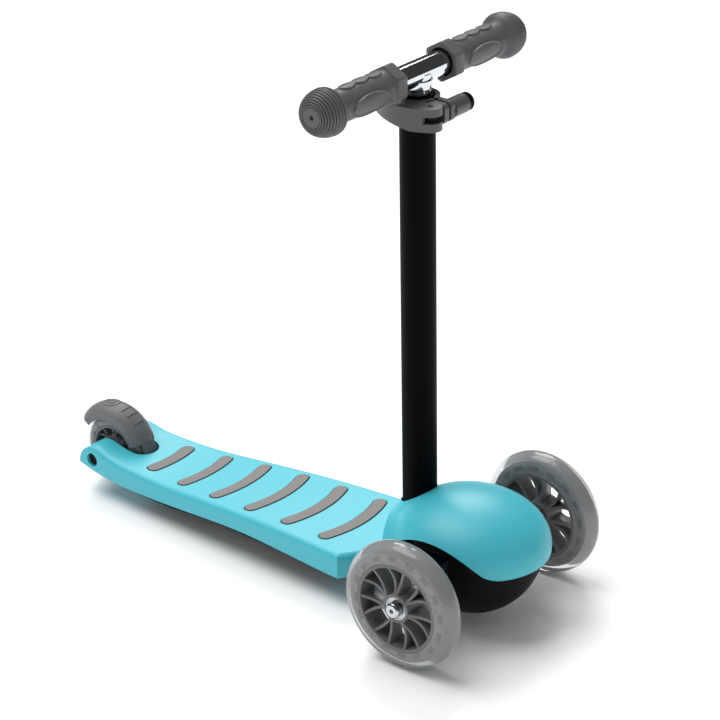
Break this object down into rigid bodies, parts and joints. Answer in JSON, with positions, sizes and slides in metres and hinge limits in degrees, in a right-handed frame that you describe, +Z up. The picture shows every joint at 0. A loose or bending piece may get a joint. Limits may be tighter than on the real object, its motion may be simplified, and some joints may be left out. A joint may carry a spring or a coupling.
{
  "type": "kick scooter",
  "caption": "Child's lean-to-steer kick scooter with two front wheels, one rear wheel, a foot brake, a low deck with grip pads and a height-adjustable T-bar.",
  "frame": {"origin": "on the ground, under the middle of the bounding box", "axes": "+X to the rider's left, +Y backwards towards the rear wheel, +Z up"},
  "size_m": [0.2812, 0.5481, 0.5258],
  "materials": {
    "shell_plastic": "satin moulded",
    "black_plastic": "satin moulded",
    "pad_rubber": "matt",
    "grip_rubber": "matt",
    "column_paint": "satin black",
    "clamp_plastic": "satin moulded",
    "chrome": "polished",
    "fender_plastic": "satin moulded",
    "bumper_rubber": "matt",
    "cast_aluminium": "cast",
    "bearing_steel": "ground",
    "zinc_steel": "zinc plated",
    "clear_tyre": "clear glossy cast polyurethane",
    "black_steel": "black oxide",
    "wheel_core": "moulded"
  },
  "bodies": {
    "frame": {"deck_shell": "shell_plastic", "deck_undertray": "black_plastic", "undertray_screws": "zinc_steel", "tongue_screws": "zinc_steel", "grip_pad_1": "pad_rubber", "grip_pad_2": "pad_rubber", "grip_pad_3": "pad_rubber", "grip_pad_4": "pad_rubber", "grip_pad_5": "pad_rubber", "grip_pad_6": "pad_rubber", "front_housing_base": "black_plastic", "front_cover": "shell_plastic", "cover_screws": "zinc_steel", "lean_pin": "zinc_steel", "left_lean_bumper": "bumper_rubber", "right_lean_bumper": "bumper_rubber", "column_tube": "column_paint", "column_bolt": "zinc_steel", "column_bush": "black_plastic", "clamp_collar": "clamp_plastic", "clamp_bolt": "black_steel", "clamp_nut": "clamp_plastic", "clamp_nut_cap": "black_plastic", "rear_axle_bolt": "black_steel", "rear_axle_nut": "black_steel", "rear_axle_spacers": "bearing_steel", "brake_pin": "zinc_steel", "brake_spring": "zinc_steel"},
    "lean_axle": {"axle_beam": "cast_aluminium", "lean_bushes": "bearing_steel", "kingpins": "zinc_steel"},
    "tie_rod": {"tie_rod": "cast_aluminium"},
    "right_knuckle": {"right_knuckle": "cast_aluminium", "right_axle_bolt": "zinc_steel"},
    "left_knuckle": {"left_knuckle": "cast_aluminium", "left_axle_bolt": "zinc_steel"},
    "right_front_wheel": {"right_front_wheel_tyre": "clear_tyre", "right_front_wheel_core": "wheel_core", "right_front_wheel_bearings": "bearing_steel", "right_front_wheel_bearing_spacer": "bearing_steel"},
    "left_front_wheel": {"left_front_wheel_tyre": "clear_tyre", "left_front_wheel_core": "wheel_core", "left_front_wheel_bearings": "bearing_steel", "left_front_wheel_bearing_spacer": "bearing_steel"},
    "rear_wheel": {"rear_wheel_tyre": "clear_tyre", "rear_wheel_core": "wheel_core", "rear_wheel_bearings": "bearing_steel", "rear_wheel_bearing_spacer": "bearing_steel"},
    "brake": {"brake_fender": "fender_plastic"},
    "handlebar": {"stem_tube": "chrome", "stem_plug": "black_plastic", "stem_weld": "chrome", "cross_tube": "chrome", "left_grip": "grip_rubber", "right_grip": "grip_rubber"},
    "clamp_lever": {"clamp_lever": "clamp_plastic", "lever_pin": "black_steel"}
  },
  "joints": [
    {"name": "lean", "type": "hinge", "parent": "frame", "child": "lean_axle", "pos_m": [0, -0.20375, 0.06], "axis": [0, 1, 0], "range_deg": [-10, 10], "stiffness_Nm_per_rad": 80, "deforming": ["left_lean_bumper", "right_lean_bumper"]},
    {"name": "tie_rod_slide", "type": "slide", "parent": "lean_axle", "child": "tie_rod", "axis": [1, 0, 0], "range_m": [-0.0066, 0.0066]},
    {"name": "right_steer", "type": "hinge", "parent": "lean_axle", "child": "right_knuckle", "pos_m": [-0.072, -0.20375, 0.06], "axis": [0, 0, 1], "range_deg": [-12.1, 12.1]},
    {"name": "left_steer", "type": "hinge", "parent": "lean_axle", "child": "left_knuckle", "pos_m": [0.072, -0.20375, 0.06], "axis": [0, 0, 1], "range_deg": [-12.1, 12.1]},
    {"name": "right_front_wheel_spin", "type": "hinge", "parent": "right_knuckle", "child": "right_front_wheel", "pos_m": [-0.106, -0.20375, 0.06], "axis": [1, 0, 0], "continuous": true},
    {"name": "left_front_wheel_spin", "type": "hinge", "parent": "left_knuckle", "child": "left_front_wheel", "pos_m": [0.106, -0.20375, 0.06], "axis": [1, 0, 0], "continuous": true},
    {"name": "rear_wheel_spin", "type": "hinge", "parent": "frame", "child": "rear_wheel", "pos_m": [0, 0.23425, 0.038], "axis": [1, 0, 0], "continuous": true},
    {"name": "brake_press", "type": "hinge", "parent": "frame", "child": "brake", "pos_m": [0, 0.18925, 0.03], "axis": [-1, 0, 0], "range_deg": [0, 1.6], "stiffness_Nm_per_rad": 2, "springref_deg": -8.59, "deforming": ["brake_spring"]},
    {"name": "bar_height", "type": "slide", "parent": "frame", "child": "handlebar", "axis": [0, 0, 1], "range_m": [0, 0.165]},
    {"name": "clamp_lever_swing", "type": "hinge", "parent": "frame", "child": "clamp_lever", "pos_m": [-0.018, -0.16925, 0.476], "axis": [0, 0, 1], "range_deg": [0, 115]}
  ],
  "couplings": [
    {"joint": "right_steer", "follows": "lean", "ratio": -1.2},
    {"joint": "left_steer", "follows": "lean", "ratio": -1.2},
    {"joint": "tie_rod_slide", "follows": "lean", "m_per_rad": 0.0372}
  ]
}
